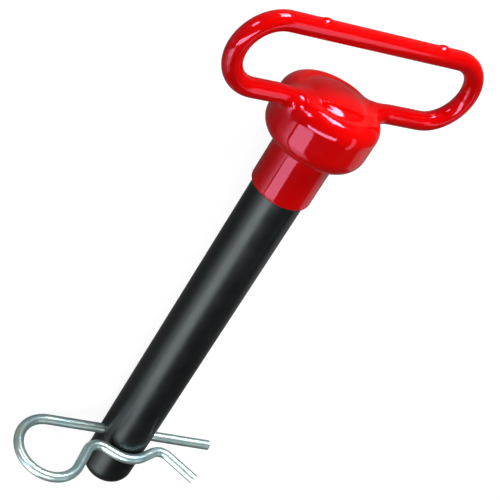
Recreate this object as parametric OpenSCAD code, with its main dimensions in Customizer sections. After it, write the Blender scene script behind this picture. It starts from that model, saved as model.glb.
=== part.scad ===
// Hitch pin with a vinyl-dipped head and loop handle, and a hairpin clip through its cross hole.
// All lengths are in millimetres. The pin is drawn upright in its own frame and then laid down
// as it comes to rest: on the head's rim, on the nose and on the clip's loop.
// Upright frame: Z runs along the pin, from the tip to the head, with zero at the collar's
// underside. X runs along the handle's two long runs.

/* [Shank] */
// Diameter of the round bar
shank_d = 25.4; // [19:0.1:32]
// Grip, from the collar's underside to the centre of the cross hole
grip_length = 189.4; // [120:0.5:260]
// Length of bar below the centre of the cross hole
hole_to_tip = 28.3; // [22:0.1:45]
// Radius that rounds the tip
nose_r = 8; // [3:0.1:9]
// Diameter of the cross hole for the clip
cross_hole_d = 6; // [5.6:0.1:8]

/* [Collar] */
// Diameter of the steel collar
collar_d = 44.4; // [38:0.1:60]
// Height of the steel collar
collar_h = 23.4; // [20:0.1:32]
// Radius that rounds the collar's lower edge
collar_low_edge = 6.9; // [1:0.1:8]
// Radius that rounds the collar's upper edge
collar_top_edge = 6.7; // [1:0.1:8]
// Height of the domed end of the bar above the collar
dome_h = 2.6; // [1.6:0.1:5]

/* [Handle] */
// Diameter of the bent handle rod
rod_d = 6.4; // [5:0.1:8]
// Width of the handle's loop, between rod centres
loop_width = 122.6; // [90:0.2:160]
// Height of the handle's loop, between rod centres
loop_height = 33.4; // [26:0.2:60]
// How far the loop sits off centre
loop_shift = 2.4; // [-6:0.1:6]
// Depth of the rod's centre below the collar's top face
rod_sink = 1.8; // [0.5:0.1:8]
// Gap between the rod's two ends, in the middle of the head
rod_end_gap = 1; // [0.4:0.1:4]

/* [Vinyl] */
// Thickness of the vinyl on the head and on the shank
vinyl_t = 1.7; // [0.8:0.1:3]
// Thickness of the vinyl on the thinner handle rod
rod_vinyl_t = 1.15; // [0.6:0.05:2.5]
// Length of shank that the dip covers, below the collar
dip_length = 27; // [10:0.5:60]
// Radius of the vinyl's lower lip
lip_r = 0.7; // [0.2:0.1:1.5]
// Radius at the foot of the web that the vinyl draws under the rod, where it leaves the head
web_r = 6.6; // [5.5:0.1:7]
// Length of that web
web_length = 8; // [4:0.1:12]
// Radius of each dried drip on the handle's top run
drip_r = 3; // [2:0.1:4]
// How far each drip stands proud of the handle
drip_rise = 0.8; // [0.3:0.1:2]
// Place of the drips along the handle, from the pin's axis
drip_x = [-26, 36]; // [-40:1:40]

/* [Clip] */
// Diameter of the spring wire
wire_d = 5; // [4:0.1:5.4]
// Length of the straight leg beyond the pin's axis
leg_reach = 46.3; // [25:0.5:60]
// Distance from the pin's axis to the centre of the clip's loop
eye_reach = 41.6; // [36:0.5:55]
// Radius of the clip's loop, to the middle of the wire
eye_r = 16.1; // [12:0.1:20]
// Slope of the wire as it comes off the loop
throat_angle = 60.8; // [50:0.5:75]
// Slope of the wire on the loop's side of the seat
seat_angle_in = 28; // [20:0.5:36]
// Slope of the wire on the open side of the seat
seat_angle_out = 31.5; // [20:0.5:40]
// Gap between the seat and the shank
seat_gap = 0.25; // [0.1:0.05:1]
// Bend radius of the two humps, to the middle of the wire
hump_r = 7; // [5:0.1:9]
// Distance from the pin's axis to the corner of the outer hump
tail_root = 18.1; // [16:0.1:26]
// Slope of the tail
tail_angle = 41.7; // [20:0.5:60]
// Length of the tail, from the corner of the outer hump
tail_length = 22.5; // [12:0.5:36]
// Angle between the clip's straight leg and the handle
clip_turn = -8.8; // [-20:0.1:-2]
// Angle by which the clip's bent leg leans towards the tip
clip_lean = 8; // [0:0.5:10]

/* [Hidden] */
$fn = 96;
shank_r = shank_d / 2;
collar_r = collar_d / 2;
rod_r = rod_d / 2;
wire_r = wire_d / 2;
hole_z = -grip_length;
tip_z = hole_z - hole_to_tip;
dome_top = collar_h + dome_h;
dip_z = -dip_length;

// Handle: the lower run crosses the head, the upper run is the grip
run_z = collar_h - rod_sink;
bow_r = loop_height / 2;
bow_z = run_z + bow_r;
bow_x = [loop_shift - loop_width / 2 + bow_r, loop_shift + loop_width / 2 - bow_r];
grip_r = rod_r + rod_vinyl_t;
drip_z = run_z + loop_height + grip_r + drip_rise - drip_r;
web_inset = 3.4;

// Rounded rims that the pin lies on: ring radius, rounding radius and height
rim_ring = collar_r - collar_low_edge;
rim_round = collar_low_edge + vinyl_t;
rim_z = collar_low_edge;
nose_ring = shank_r - nose_r;
nose_z = tip_z + nose_r;

// Clip, in its own plane: [along the leg, away from the leg], with zero on the pin's axis
function heading(a) = [cos(a), sin(a)];
function meet(p, a, q, b) =
    p + heading(a) * cross(q - p, heading(b)) / cross(heading(a), heading(b));
eye = [-eye_reach, eye_r];
seat_r = (shank_r + wire_r + seat_gap) / cos(clip_lean);
throat_start = eye + eye_r * [sin(throat_angle), cos(throat_angle)];
seat_in = seat_r * [-sin(seat_angle_in), cos(seat_angle_in)];
seat_out = seat_r * [sin(seat_angle_out), cos(seat_angle_out)];
hump_in = meet(throat_start, -throat_angle, seat_in, seat_angle_in);
hump_out = meet(seat_out, -seat_angle_out, [tail_root, 0], 90);
tail_end = hump_out + tail_length * heading(tail_angle);

// Bending draws the wire a little thinner, and the straight runs lap into the bends
bend_thinning = 0.02;
lap = 0.4;

// From the clip's plane to the upright frame
function clip_to_pin(v) =
    let (y = -v[1] * cos(clip_lean) + v[2] * sin(clip_lean),
         z = -v[1] * sin(clip_lean) - v[2] * cos(clip_lean))
    [v[0] * cos(clip_turn) - y * sin(clip_turn), v[0] * sin(clip_turn) + y * cos(clip_turn), z];
eye_centre = clip_to_pin([eye[0], eye[1], 0]) + [0, 0, hole_z];
eye_axis = clip_to_pin([0, 0, 1]);

// How far a rounded ring reaches in the direction d: centre, axis, ring radius, rounding radius
function reach(centre, axis, ring, round, d) =
    centre * d + ring * sqrt(max(0, 1 - pow(axis * d, 2))) + round;

// Rest: the tilt brings the rim and the nose level, the roll brings the clip's loop down to them
drop = rim_z - nose_z;
tilt = asin((rim_round - nose_r) / norm([rim_ring - nose_ring, drop]))
    + atan2(rim_ring - nose_ring, drop);
function up(roll) = [cos(tilt) * sin(roll), -cos(tilt) * cos(roll), sin(tilt)];
function depth(roll, centre, axis, ring, round) = reach(centre, axis, ring, round, -up(roll));
rest_depth = depth(0, [0, 0, nose_z], [0, 0, 1], nose_ring, nose_r);
function find_roll(low, high, steps) =
    steps == 0 ? (low + high) / 2 :
    let (mid = (low + high) / 2)
    depth(mid, eye_centre, eye_axis, eye_r, wire_r) > rest_depth
        ? find_roll(low, mid, steps - 1) : find_roll(mid, high, steps - 1);
roll = find_roll(-20, 40, 40);

// Middle of the laid-down part, along the pin and across it
function long_way() = [sin(tilt) * sin(roll), -sin(tilt) * cos(roll), -cos(tilt)];
function cross_way() = [cos(roll), sin(roll), 0];
tip_end = reach([0, 0, nose_z], [0, 0, 1], nose_ring, nose_r, long_way());
handle_end = max([for (x = drip_x) reach([x, 0, drip_z], [0, 0, 1], 0, drip_r, -long_way())]);
side_right = reach([bow_x[1], 0, bow_z], [0, 1, 0], bow_r, grip_r, cross_way());
side_left = max(reach([bow_x[0], 0, bow_z], [0, 1, 0], bow_r, grip_r, -cross_way()),
                reach(eye_centre, eye_axis, eye_r, wire_r, -cross_way()));
middle = [(tip_end - handle_end) / 2, (side_right - side_left) / 2];

module lay_down() {
    translate([-middle[0], -middle[1], rest_depth])
        rotate([0, tilt, 0])
            rotate([-90, 0, 90])
                rotate([0, 0, -roll])
                    children();
}

// A round disc on the Z axis with a rounded lower edge, and a rounded upper edge if high_edge is above 0
module edged_disc(radius, low, high, low_edge, high_edge) {
    rotate_extrude()
        intersection() {
            translate([0, low])
                square([radius, high - low]);
            union() {
                translate([0, low])
                    square([radius - low_edge, high - low - high_edge]);
                translate([0, low + low_edge])
                    square([radius - high_edge, high - low - low_edge]);
                translate([0, low + low_edge])
                    square([radius, high - low - low_edge - high_edge]);
                translate([radius - low_edge, low + low_edge])
                    circle(low_edge);
                if (high_edge > 0)
                    translate([radius - high_edge, high - high_edge])
                        circle(high_edge);
            }
        }
}

// A shallow dome on the Z axis, standing on the height base
module dome(radius, base, rise) {
    ball_r = (radius * radius + rise * rise) / (2 * rise);
    intersection() {
        translate([0, 0, base + rise - ball_r])
            sphere(ball_r);
        translate([0, 0, base])
            cylinder(h = rise + 1, r = radius);
    }
}

// A straight round bar along X
module x_bar(x0, x1, z, radius) {
    translate([x0, 0, z])
        rotate([0, 90, 0])
            cylinder(h = x1 - x0, r = radius);
}

// The handle's loop as a round tube, open by gap in the middle of its lower run
module handle_loop(radius, gap) {
    x_bar(bow_x[0], bow_x[1], run_z + loop_height, radius);
    if (gap > 0) {
        x_bar(bow_x[0], -gap / 2, run_z, radius);
        x_bar(gap / 2, bow_x[1], run_z, radius);
    } else {
        x_bar(bow_x[0], bow_x[1], run_z, radius);
    }
    for (side = [0, 1])
        translate([bow_x[side], 0, bow_z])
            rotate([90, side * 180 - 90, 0])
                rotate_extrude(angle = 180)
                    translate([bow_r, 0])
                        circle(radius);
}

// The upright steel body, before its cross hole
module pin_blank() {
    edged_disc(shank_r, tip_z, collar_h, nose_r, 0);
    edged_disc(collar_r, 0, collar_h, collar_low_edge, collar_top_edge);
    dome(shank_r, collar_h, dome_h);
}

module pin() {
    color([0.08, 0.085, 0.09])
        lay_down()
            difference() {
                pin_blank();
                x_bar(-collar_r, collar_r, run_z, rod_r);
                translate([0, 0, hole_z])
                    rotate([0, 90, clip_turn])
                        cylinder(h = collar_d, d = cross_hole_d, center = true);
            }
}

module handle_rod() {
    color([0.5, 0.5, 0.52])
        lay_down()
            handle_loop(rod_r, rod_end_gap);
}

// The web that the vinyl draws under the rod where it leaves the head, on the side 1 or -1.
// Its foot is inside the head, and its thin end inside the rod's own vinyl.
module web(side) {
    intersection() {
        translate([side * (collar_r + vinyl_t - web_inset), 0, run_z])
            rotate([0, side * 90, 0])
                cylinder(h = web_length, r1 = web_r, r2 = rod_r);
        cylinder(h = run_z, r = loop_width);
    }
}

module vinyl_form() {
    edged_disc(collar_r + vinyl_t, -vinyl_t, collar_h + vinyl_t,
               collar_low_edge + vinyl_t, collar_top_edge + vinyl_t);
    edged_disc(shank_r + vinyl_t, dip_z, collar_h, lip_r, 0);
    dome(shank_r + vinyl_t, collar_h + vinyl_t, dome_h);
    handle_loop(grip_r, 0);
    web(1);
    web(-1);
    for (x = drip_x)
        translate([x, 0, drip_z])
            sphere(drip_r);
}

module vinyl_coat() {
    color([0.86, 0.03, 0.03])
        lay_down()
            difference() {
                vinyl_form();
                pin_blank();
                handle_loop(rod_r, 0);
            }
}

// A straight run of wire in the clip's plane, run on by lap into the bend at each end that has one
module wire(p, q, lap_p, lap_q) {
    translate([p[0], p[1], 0])
        rotate([0, 90, atan2(q[1] - p[1], q[0] - p[0])])
            translate([0, 0, -lap_p])
                cylinder(h = norm(q - p) + lap_p + lap_q, r = wire_r);
}

// A bend of wire in the clip's plane, from the angle a0 to the angle a1 about its centre
module bend(centre, radius, a0, a1) {
    translate([centre[0], centre[1], 0])
        rotate([0, 0, a0])
            rotate_extrude(angle = a1 - a0)
                translate([radius, 0])
                    circle(wire_r - bend_thinning);
}

module clip_wire() {
    in_cut = hump_r * tan((throat_angle + seat_angle_in) / 2);
    out_cut = hump_r * tan((seat_angle_out + tail_angle) / 2);
    throat_foot = hump_in - in_cut * heading(-throat_angle);
    seat_foot = hump_in + in_cut * heading(seat_angle_in);
    seat_head = hump_out - out_cut * heading(-seat_angle_out);
    tail_foot = hump_out + out_cut * heading(tail_angle);
    in_centre = throat_foot + hump_r * heading(90 - throat_angle);
    out_centre = tail_foot + hump_r * heading(90 + tail_angle);

    wire([-eye_reach, 0], [leg_reach, 0], lap, 0);
    bend(eye, eye_r, 90 - throat_angle, 270);
    wire(throat_start, throat_foot, lap, lap);
    bend(in_centre, hump_r, 270 - throat_angle, 270 + seat_angle_in);
    wire(seat_foot, seat_in, lap, lap);
    bend([0, 0], seat_r, 90 - seat_angle_out, 90 + seat_angle_in);
    wire(seat_out, seat_head, lap, lap);
    bend(out_centre, hump_r, 270 - seat_angle_out, 270 + tail_angle);
    wire(tail_foot, tail_end, lap, 0);
}

module hairpin_clip() {
    color([0.72, 0.76, 0.8])
        lay_down()
            translate([0, 0, hole_z])
                rotate([180 + clip_lean, 0, clip_turn])
                    clip_wire();
}

pin();
handle_rod();
vinyl_coat();
hairpin_clip();
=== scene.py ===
"""A hitch pin lying on a pale floor: black shank, red vinyl-dipped head and handle, zinc hairpin clip."""
import math

import bpy
from mathutils import Matrix, Vector


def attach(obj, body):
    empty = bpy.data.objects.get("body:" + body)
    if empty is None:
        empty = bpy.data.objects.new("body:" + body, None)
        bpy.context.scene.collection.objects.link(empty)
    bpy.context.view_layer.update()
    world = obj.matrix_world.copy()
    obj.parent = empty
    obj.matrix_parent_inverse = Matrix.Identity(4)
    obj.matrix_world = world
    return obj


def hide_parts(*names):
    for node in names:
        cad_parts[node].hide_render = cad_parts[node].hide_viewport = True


MM = 0.001

# Sizes of the coated head and handle, upright, in millimetres. Z runs along the pin towards the head, with
# zero at the collar's underside, and X runs along the handle

# Each arc of the head's side gives its centre's distance from the axis and height, and its radius
LOW_ARC = (15.3, 6.9, 8.6)
HIGH_ARC = (15.5, 16.7, 8.4)
# Radius and height of the rings from the rim over its low ring to the domed end
TOP_RINGS = [
    (18.3, 24.57), (17.4, 24.64), (16.4, 24.5), (15.5, 24.3), (14.8, 24.42), (14.2, 24.75),
    (13.2, 25.45), (11.9, 26.15), (10.0, 26.75), (8.0, 27.15), (5.0, 27.5), (2.0, 27.66),
]
SLEEVE_R = 14.4
SLEEVE_LOW = -27.0
SLEEVE_HIGH = 8.0
LIP_R = 0.7
# The coated rod of the handle: its radius, the height of its lower run and its two bows
GRIP_R = 4.35
RUN_Z = 21.6
BOW_R = 16.7
BOW_X = (-42.2, 47.0)
# Each drip on the handle's top run: place along it, radius and rise above it
DRIPS = [(-26.0, 3.0, 0.8), (36.0, 3.0, 0.95)]
# The skin flares sideways and down where the handle enters the head: distance from the axis, half width
# and half height
FLARE = [
    (29.5, 4.2, 4.2), (28.0, 4.4, 4.4), (26.5, 4.6, 4.6), (25.0, 4.9, 4.9), (23.5, 5.3, 5.3),
    (22.0, 5.7, 5.7), (20.0, 6.1, 6.1), (17.0, 6.4, 6.4), (13.0, 6.2, 6.2),
]
# The blends there: nothing is blended below this height or farther than this from the axis, and the blend
# fades within these distances along the run and off its surface
WEB_LOW = 12
WEB_REACH = 29
WEB_START = 9
WEB_FADE = 5
WEB_WIDTH = 7
SKIN_VOXEL = 0.5

# The lamps face this point from this far, in metres
LIT_POINT = (-0.08, -0.01, 0.025)
LAMPS_AWAY = 3.0
# Each lamp: name, azimuth, elevation, width and height in degrees, and radiance
FILL_LAMPS = [
    ("key fill", 162, 18, 70, 32, 6.2),
    ("side fill", -75, 50, 50, 50, 2.0),
]
HIGHLIGHT_LAMPS = [
    ("strip box", -58, 18, 16, 32, 6.4),
    ("strip box, middle", -41, 18, 18, 32, 3.4),
    ("strip box, far side", -25, 18, 14, 28, 1.2),
    ("rim box", -80, 52, 14, 62, 16),
    ("key box", 169, 9, 18, 17, 42),
    ("square box", -132, 5, 14, 9, 30),
    ("top panel", 85, 60, 50, 9, 2.2),
    ("back card", 62, 12, 16, 30, 0.4),
]
FLOOR_LIFT = 0.9
WORLD_LEVEL = 0.025
# How much of the pale background shows in mirrored and transmitted rays
BACKGROUND_MIRRORED = 0.05

# The camera's place in metres, and its directions
CAMERA_AT = (-0.34625, -0.41948, 0.41106)
CAMERA_RIGHT = (-0.434203, 0.771438, 0.465135)
CAMERA_DOWN = (0.750036, 0.023626, 0.660975)
CAMERA_AHEAD = (0.498912, 0.635866, -0.588865)

# How the pin lies: rolled about its own axis and tilted, so that the head's rim, the nose and the
# clip's loop touch the floor
ROLL = math.radians(6.11277)
TILT = math.radians(2.96024)
LAID_AT = (-78.7231, -2.38635, 23.5232)


def lying_matrix():
    """From the upright frame, in metres, to the pin lying on the floor."""
    place = Matrix.Translation(Vector(LAID_AT) * MM)
    level = Matrix.Rotation(TILT, 4, "Y")
    flat = Matrix.Rotation(math.radians(90), 4, "Z") @ Matrix.Rotation(math.radians(-90), 4, "X")
    return place @ level @ flat @ Matrix.Rotation(-ROLL, 4, "Z")


def deselect_all():
    bpy.ops.object.select_all(action="DESELECT")


def pick(obj):
    """Makes one object the active and only selected one."""
    deselect_all()
    obj.select_set(True)
    bpy.context.view_layer.objects.active = obj


def select_edges(obj, wanted):
    """Selects the edges whose middle is where wanted says, and opens edit mode."""
    pick(obj)
    bpy.ops.object.mode_set(mode="EDIT")
    bpy.ops.mesh.select_mode(type="EDGE")
    bpy.ops.mesh.select_all(action="DESELECT")
    bpy.ops.object.mode_set(mode="OBJECT")
    verts = obj.data.vertices
    for edge in obj.data.edges:
        a, b = (verts[i].co for i in edge.vertices)
        edge.select = wanted((a + b) / 2, b - a)
    bpy.ops.object.mode_set(mode="EDIT")


def to_object_mode():
    bpy.ops.object.mode_set(mode="OBJECT")


def apply_modifier(obj, name):
    pick(obj)
    bpy.ops.object.modifier_apply(modifier=name)


def add_cylinder(name, radius, low, high, sides):
    """An upright cylinder on the pin's axis, in millimetres, with its place in its mesh."""
    deselect_all()
    bpy.ops.mesh.primitive_cylinder_add(
        vertices=sides, radius=radius, depth=high - low, end_fill_type="NGON",
        location=(0, 0, (low + high) / 2)
    )
    obj = bpy.context.active_object
    obj.name = name
    bpy.ops.object.transform_apply(location=True, rotation=True, scale=True)
    return obj


def arc_rings(arc, start, end, steps):
    """Radius and height of the rings along a rounded edge, from start to end in degrees above level."""
    centre, height, radius = arc
    turns = [math.radians(start + (end - start) * i / steps) for i in range(steps + 1)]
    return [(centre + radius * math.cos(t), height + radius * math.sin(t)) for t in turns]


def model_head():
    """The coated collar, drawn up ring by ring: rounded edges, a low ring and the domed end inside it."""
    rings = arc_rings(LOW_ARC, -90, 0, 12) + arc_rings(HIGH_ARC, 0, 66, 12) + TOP_RINGS
    deselect_all()
    radius, height = rings[0]
    bpy.ops.mesh.primitive_circle_add(
        vertices=128, radius=radius, fill_type="NGON", location=(0, 0, height)
    )
    head = bpy.context.active_object
    head.name = "head"
    bpy.ops.object.transform_apply(location=True, rotation=True, scale=True)
    bpy.ops.object.mode_set(mode="EDIT")
    bpy.ops.mesh.select_all(action="SELECT")
    for ring_r, ring_z in rings[1:]:
        bpy.ops.mesh.extrude_region_move(TRANSFORM_OT_translate={"value": (0, 0, ring_z - height)})
        widen = ring_r / radius
        bpy.ops.transform.resize(value=(widen, widen, 1), center_override=(0, 0, ring_z))
        radius, height = ring_r, ring_z
    bpy.ops.mesh.select_all(action="SELECT")
    bpy.ops.mesh.normals_make_consistent(inside=False)
    to_object_mode()
    return head


def model_sleeve():
    """The vinyl on the top of the shank, with a rounded lower lip."""

    def on_lower_rim(mid, along):
        level = abs(along.z) < 0.01 and mid.z < SLEEVE_LOW + 0.01
        return level and math.hypot(mid.x, mid.y) > SLEEVE_R - 0.4

    sleeve = add_cylinder("sleeve", SLEEVE_R, SLEEVE_LOW, SLEEVE_HIGH, 96)
    select_edges(sleeve, on_lower_rim)
    bpy.ops.mesh.bevel(offset=LIP_R, segments=4, profile=0.5, affect="EDGES")
    to_object_mode()
    return sleeve


def model_handle():
    """The coated loop: a ring of wire outline swept along both runs and round both bows."""
    deselect_all()
    bpy.ops.mesh.primitive_circle_add(
        vertices=40, radius=GRIP_R, fill_type="NOTHING",
        location=(BOW_X[0], 0, RUN_Z), rotation=(0, math.radians(90), 0)
    )
    handle = bpy.context.active_object
    handle.name = "handle"
    bpy.ops.object.transform_apply(location=True, rotation=True, scale=True)
    steps = 30
    step = (BOW_X[1] - BOW_X[0]) / steps
    pick(handle)
    bpy.ops.object.mode_set(mode="EDIT")
    bpy.ops.mesh.select_all(action="SELECT")
    for direction, bow in ((1, BOW_X[1]), (-1, BOW_X[0])):
        for _ in range(steps):
            bpy.ops.mesh.extrude_region_move(TRANSFORM_OT_translate={"value": (direction * step, 0, 0)})
        bpy.ops.mesh.spin(
            steps=36, dupli=False, angle=math.radians(180), center=(bow, 0, RUN_Z + BOW_R), axis=(0, 1, 0)
        )
    bpy.ops.mesh.select_all(action="SELECT")
    bpy.ops.mesh.remove_doubles(threshold=0.01)
    bpy.ops.mesh.normals_make_consistent(inside=False)
    to_object_mode()
    return handle


def model_drip(x, radius, rise):
    """A dried drip on the handle's top run."""
    deselect_all()
    top = RUN_Z + 2 * BOW_R + GRIP_R
    bpy.ops.mesh.primitive_uv_sphere_add(
        segments=32, ring_count=16, radius=radius, location=(x, 0, top + rise - radius)
    )
    drip = bpy.context.active_object
    bpy.ops.transform.resize(value=(1.25, 1, 1), center_override=(x, 0, top))
    bpy.ops.object.transform_apply(location=True, rotation=True, scale=True)
    return drip


def model_flare(side):
    """The thicker skin round the handle's lower run, on one side of the head, level along its top."""
    deselect_all()
    top = RUN_Z + GRIP_R
    x, wide, high = FLARE[0]
    bpy.ops.mesh.primitive_circle_add(
        vertices=48, radius=high, fill_type="NGON",
        location=(side * x, 0, top - high), rotation=(0, math.radians(90), 0)
    )
    flare = bpy.context.active_object
    bpy.ops.object.transform_apply(location=True, rotation=True, scale=True)
    bpy.ops.object.mode_set(mode="EDIT")
    bpy.ops.mesh.select_all(action="SELECT")
    for next_x, next_wide, next_high in FLARE[1:]:
        bpy.ops.mesh.extrude_region_move(TRANSFORM_OT_translate={"value": (side * (next_x - x), 0, 0)})
        bpy.ops.transform.resize(
            value=(1, next_wide / wide, next_high / high), center_override=(side * next_x, 0, top)
        )
        x, wide, high = next_x, next_wide, next_high
    bpy.ops.mesh.select_all(action="SELECT")
    bpy.ops.mesh.normals_make_consistent(inside=False)
    to_object_mode()
    return flare


def weigh(obj, name, weight):
    """Writes a vertex group from a function of each point."""
    group = obj.vertex_groups.new(name=name)
    for v in obj.data.vertices:
        w = weight(v.co)
        if w > 0.01:
            group.add([v.index], min(w, 1.0), "REPLACE")


def smooth(obj, factor, times, group=""):
    """Evens out the skin, only where the group has weight if one is named."""
    mod = obj.modifiers.new("smooth", "SMOOTH")
    mod.factor = factor
    mod.iterations = times
    mod.vertex_group = group
    apply_modifier(obj, "smooth")


def web_weight(co):
    """Near the places where the handle's lower run enters the head, above and below it."""
    across = math.hypot(co.x, co.y)
    off_run = math.hypot(co.y, co.z - RUN_Z) - GRIP_R
    if co.z < WEB_LOW or across > WEB_REACH:
        return 0.0
    outer_fade = min(1.0, (WEB_REACH - across) / WEB_FADE)
    inner_fade = min(1.0, max(0.0, (abs(co.x) - WEB_START) / WEB_FADE))
    return outer_fade * inner_fade * max(0.0, 1 - abs(off_run) / WEB_WIDTH)


def model_vinyl():
    """One skin over the head, the top of the shank and the handle, with its flares and drips."""
    parts = [model_head(), model_sleeve(), model_handle(), model_flare(-1), model_flare(1)]
    parts += [model_drip(*d) for d in DRIPS]
    deselect_all()
    for part in parts:
        part.select_set(True)
    bpy.context.view_layer.objects.active = parts[0]
    bpy.ops.object.join()
    vinyl = bpy.context.active_object
    vinyl.name = "vinyl_skin"
    vinyl.data.name = "vinyl_skin"
    fuse = vinyl.modifiers.new("fuse", "REMESH")
    fuse.mode = "VOXEL"
    fuse.voxel_size = SKIN_VOXEL
    fuse.adaptivity = 0
    fuse.use_smooth_shade = True
    apply_modifier(vinyl, "fuse")
    smooth(vinyl, 0.5, 5)
    weigh(vinyl, "webs", web_weight)
    smooth(vinyl, 0.5, 260, "webs")
    smooth(vinyl, 0.5, 9)
    pick(vinyl)
    vinyl.scale = (MM, MM, MM)
    bpy.ops.object.transform_apply(location=False, rotation=False, scale=True)
    vinyl.matrix_world = lying_matrix()
    bpy.ops.object.transform_apply(location=True, rotation=True, scale=True)
    bpy.ops.object.shade_smooth()
    return vinyl


def new_material(name):
    mat = bpy.data.materials.new(name)
    mat.use_nodes = True
    return mat, mat.node_tree.nodes, mat.node_tree.links, mat.node_tree.nodes["Principled BSDF"]


def add_noise(nodes, links, scale, detail, roughness=0.5, stretch=(1, 1, 1)):
    """Noise fixed to the object, stretched along its axes."""
    where = nodes.new("ShaderNodeTexCoord")
    mapping = nodes.new("ShaderNodeMapping")
    mapping.inputs["Scale"].default_value = stretch
    noise = nodes.new("ShaderNodeTexNoise")
    noise.inputs["Scale"].default_value = scale
    noise.inputs["Detail"].default_value = detail
    noise.inputs["Roughness"].default_value = roughness
    links.new(where.outputs["Object"], mapping.inputs["Vector"])
    links.new(mapping.outputs["Vector"], noise.inputs["Vector"])
    return noise


def ramp(nodes, links, source, low, high, dark, light):
    """Maps a value to a colour or a number between dark and light."""
    r = nodes.new("ShaderNodeMapRange")
    r.inputs["From Min"].default_value = low
    r.inputs["From Max"].default_value = high
    r.inputs["To Min"].default_value = dark
    r.inputs["To Max"].default_value = light
    links.new(source, r.inputs["Value"])
    return r.outputs["Result"]


def mix_colour(nodes, links, factor, a, b):
    """A colour between two, chosen by the factor."""
    m = nodes.new("ShaderNodeMix")
    m.data_type = "RGBA"
    m.inputs["A"].default_value = (*a, 1)
    m.inputs["B"].default_value = (*b, 1)
    links.new(factor, m.inputs["Factor"])
    return m.outputs["Result"]


def bump(nodes, links, height, strength, distance, into, before=None):
    """Small relief, over an earlier one if there is any, led into the shader unless into is None."""
    b = nodes.new("ShaderNodeBump")
    b.inputs["Strength"].default_value = strength
    b.inputs["Distance"].default_value = distance
    links.new(height, b.inputs["Height"])
    if before is not None:
        links.new(before, b.inputs["Normal"])
    if into is not None:
        links.new(b.outputs["Normal"], into)
    return b.outputs["Normal"]


def vinyl_material():
    """Glossy red plastisol: clear gloss, long soft waves and a very faint orange peel."""
    mat, nodes, links, shader = new_material("dipped vinyl")
    waves = add_noise(nodes, links, 55, 1.5)
    peel = add_noise(nodes, links, 900, 2)
    tone = ramp(nodes, links, waves.outputs["Fac"], 0.35, 0.65, 0, 1)
    colour = mix_colour(nodes, links, tone, (0.80, 0.0, 0.0), (0.86, 0.001, 0.0))
    links.new(colour, shader.inputs["Base Color"])
    long_waves = bump(nodes, links, waves.outputs["Fac"], 0.25, 0.0006, None)
    bump(nodes, links, peel.outputs["Fac"], 0.006, 0.0001, shader.inputs["Normal"], long_waves)
    shader.inputs["Roughness"].default_value = 0.085
    shader.inputs["IOR"].default_value = 1.48
    shader.inputs["Specular Tint"].default_value = (1, 0.4, 0.68, 1)
    return mat


def shank_material():
    """Black oxide on turned bar: satin, with faint turning marks round the bar and small paler spots."""
    mat, nodes, links, shader = new_material("black oxide")
    blotch = add_noise(nodes, links, 90, 4, 0.6)
    turning = add_noise(nodes, links, 1, 3, 0.6, (2600, 40, 40))
    tone = ramp(nodes, links, blotch.outputs["Fac"], 0.3, 0.7, 0, 1)
    colour = mix_colour(nodes, links, tone, (0.003, 0.0034, 0.0036), (0.006, 0.007, 0.0075))
    links.new(colour, shader.inputs["Base Color"])
    links.new(ramp(nodes, links, blotch.outputs["Fac"], 0.25, 0.75, 0.28, 0.36), shader.inputs["Roughness"])
    bump(nodes, links, turning.outputs["Fac"], 0.15, 0.00003, shader.inputs["Normal"])
    shader.inputs["IOR"].default_value = 1.45
    shader.inputs["Specular Tint"].default_value = (0.84, 0.96, 1, 1)
    return mat


def zinc_material():
    """Bright zinc plate on drawn wire: blue-white metal, slightly milky, with faint clouds and grain."""
    mat, nodes, links, shader = new_material("zinc plate")
    cloud = add_noise(nodes, links, 140, 3)
    grain = add_noise(nodes, links, 700, 3, 0.6)
    tone = ramp(nodes, links, cloud.outputs["Fac"], 0.35, 0.65, 0, 1)
    colour = mix_colour(nodes, links, tone, (0.40, 0.60, 0.64), (0.57, 0.70, 0.66))
    links.new(colour, shader.inputs["Base Color"])
    links.new(ramp(nodes, links, grain.outputs["Fac"], 0.3, 0.7, 0.31, 0.37), shader.inputs["Roughness"])
    bump(nodes, links, grain.outputs["Fac"], 0.02, 0.00005, shader.inputs["Normal"])
    shader.inputs["Metallic"].default_value = 0.8
    return mat


def steel_material():
    """Bare rod, inside the vinyl."""
    mat, nodes, links, shader = new_material("bare steel")
    grain = add_noise(nodes, links, 500, 3)
    links.new(ramp(nodes, links, grain.outputs["Fac"], 0.3, 0.7, 0.3, 0.45), shader.inputs["Roughness"])
    shader.inputs["Base Color"].default_value = (0.5, 0.5, 0.52, 1)
    shader.inputs["Metallic"].default_value = 1.0
    return mat


def dress(obj, mat):
    obj.data.materials.clear()
    obj.data.materials.append(mat)


def join_values(nodes, links, operation, a, b):
    """A maths node between two values, of which the second may be a plain number."""
    node = nodes.new("ShaderNodeMath")
    node.operation = operation
    links.new(a, node.inputs[0])
    if isinstance(b, float):
        node.inputs[1].default_value = b
    else:
        links.new(b, node.inputs[1])
    return node.outputs[0]


def background_seen(nodes, links):
    """One for camera rays, and a little for mirrored and transmitted ones."""
    path = nodes.new("ShaderNodeLightPath")
    glossy, through = path.outputs["Is Glossy Ray"], path.outputs["Is Transmission Ray"]
    bounced = join_values(nodes, links, "MAXIMUM", glossy, through)
    dimmed = join_values(nodes, links, "MULTIPLY", bounced, BACKGROUND_MIRRORED)
    return join_values(nodes, links, "MAXIMUM", path.outputs["Is Camera Ray"], dimmed)


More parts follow.
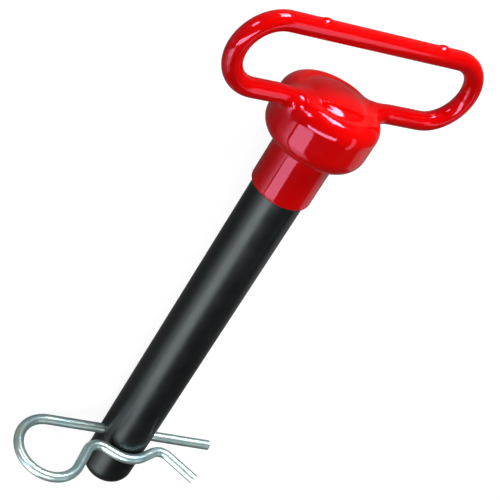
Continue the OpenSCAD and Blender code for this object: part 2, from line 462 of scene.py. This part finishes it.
def add_floor():
    """A pale floor that shows near white to the camera and keeps the object's faint shadow."""
    deselect_all()
    bpy.ops.mesh.primitive_plane_add(size=4, location=(0, 0, 0))
    floor = bpy.context.active_object
    floor.name = "floor"
    mat, nodes, links, shader = new_material("pale floor")
    shader.inputs["Base Color"].default_value = (0.25, 0.25, 0.25, 1)
    shader.inputs["Roughness"].default_value = 0.06
    shader.inputs["IOR"].default_value = 1.2
    shader.inputs["Emission Color"].default_value = (1, 1, 1, 1)
    glow = ramp(nodes, links, background_seen(nodes, links), 0, 1, 0, FLOOR_LIFT)
    links.new(glow, shader.inputs["Emission Strength"])
    dress(floor, mat)


def set_world():
    """White where the camera looks past the floor, dim in reflections and a faint light elsewhere."""
    world = bpy.data.worlds.new("studio")
    bpy.context.scene.world = world
    world.use_nodes = True
    nodes, links = world.node_tree.nodes, world.node_tree.links
    level = ramp(nodes, links, background_seen(nodes, links), 0, 1, WORLD_LEVEL, 1)
    links.new(level, nodes["Background"].inputs["Strength"])
    nodes["Background"].inputs["Color"].default_value = (1, 1, 1, 1)


def add_softbox(name, azimuth, elevation, wide, high, radiance, mirrored):
    """A lamp panel that faces the head, where azimuth and elevation say, wide and high in degrees.

    A mirrored panel only shows as a highlight, the others give the plain light on the object.
    """
    az, el = math.radians(azimuth), math.radians(elevation)
    way = Vector((math.cos(az) * math.cos(el), math.sin(az) * math.cos(el), math.sin(el)))
    data = bpy.data.lights.new(name, "AREA")
    data.shape = "RECTANGLE"
    data.size = 2 * LAMPS_AWAY * math.tan(math.radians(wide) / 2)
    data.size_y = 2 * LAMPS_AWAY * math.tan(math.radians(high) / 2)
    data.energy = radiance * math.pi * data.size * data.size_y
    lamp = bpy.data.objects.new(name, data)
    bpy.context.collection.objects.link(lamp)
    side = Vector((0, 0, 1)).cross(way).normalized()
    up = way.cross(side)
    turned = Matrix((side, up, way)).transposed().to_4x4()
    lamp.matrix_world = Matrix.Translation(Vector(LIT_POINT) + way * LAMPS_AWAY) @ turned
    lamp.visible_diffuse = not mirrored
    lamp.visible_glossy = mirrored


def add_camera():
    """The photograph's view: from the handle's side, well above the floor and turned on its side."""
    data = bpy.data.cameras.new("camera")
    camera = bpy.data.objects.new("camera", data)
    bpy.context.collection.objects.link(camera)
    data.sensor_width = 36
    data.lens = 106.093
    data.clip_start = 0.01
    right, down, ahead = Vector(CAMERA_RIGHT), Vector(CAMERA_DOWN), Vector(CAMERA_AHEAD)
    turned = Matrix((right, -down, -ahead)).transposed().to_4x4()
    camera.matrix_world = Matrix.Translation(CAMERA_AT) @ turned
    bpy.context.scene.camera = camera


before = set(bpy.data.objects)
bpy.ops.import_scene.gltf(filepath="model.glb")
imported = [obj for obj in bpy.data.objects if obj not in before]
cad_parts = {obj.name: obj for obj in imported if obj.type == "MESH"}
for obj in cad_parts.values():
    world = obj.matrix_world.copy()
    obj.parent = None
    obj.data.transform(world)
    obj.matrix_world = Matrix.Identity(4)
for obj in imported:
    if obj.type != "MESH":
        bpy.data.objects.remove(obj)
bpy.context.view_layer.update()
bpy.context.scene.view_settings.view_transform = "Standard"
add_camera()
deselect_all()

vinyl = model_vinyl()
dress(vinyl, vinyl_material())
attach(vinyl, "pin")
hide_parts("vinyl_coat")

dress(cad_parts["pin"], shank_material())
dress(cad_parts["handle_rod"], steel_material())
dress(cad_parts["hairpin_clip"], zinc_material())

add_floor()
set_world()
for lamp in FILL_LAMPS:
    add_softbox(*lamp, mirrored=False)
for lamp in HIGHLIGHT_LAMPS:
    add_softbox(*lamp, mirrored=True)
